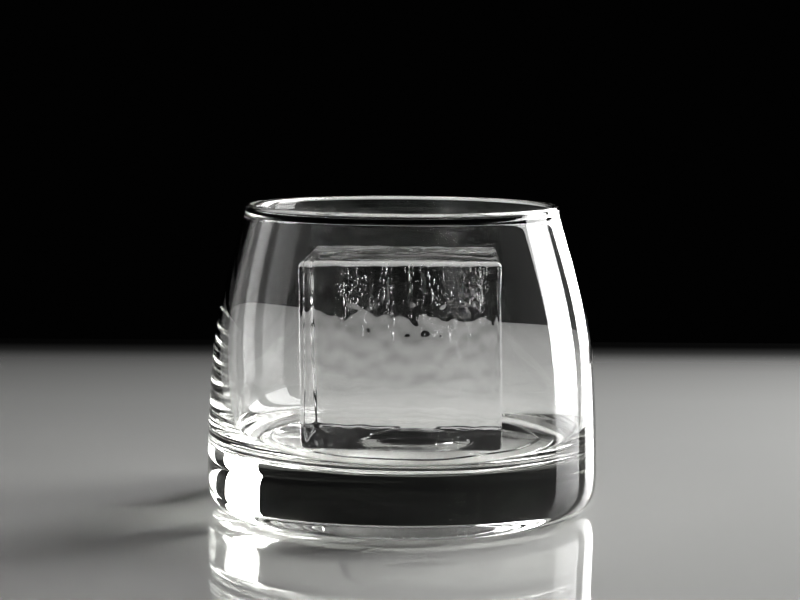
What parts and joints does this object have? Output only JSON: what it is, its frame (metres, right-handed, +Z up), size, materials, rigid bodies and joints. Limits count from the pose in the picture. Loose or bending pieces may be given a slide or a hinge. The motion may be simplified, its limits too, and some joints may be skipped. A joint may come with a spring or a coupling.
{
  "type": "whiskey tumbler",
  "caption": "Clear glass whiskey tumbler with an inward-leaning wall, thick solid base and rounded lip, holding a large clear ice cube.",
  "frame": {"origin": "centre of the foot, on the plane that the tumbler stands on", "axes": "+Z up along the tumbler's turning axis, towards the mouth; X and Y are level, along the ice cube's sides to within 2 degrees"},
  "size_m": [0.1006, 0.1006, 0.078],
  "materials": {
    "clear_glass": "polished",
    "clear_ice": "gloss"
  },
  "bodies": {
    "glass": {"tumbler": "clear_glass"},
    "ice": {"ice_cube": "clear_ice"}
  },
  "joints": [
    {"name": "ice_cube_lift", "type": "slide", "parent": "glass", "child": "ice", "axis": [0, 0, 1], "range_m": [0, 0.075]}
  ]
}
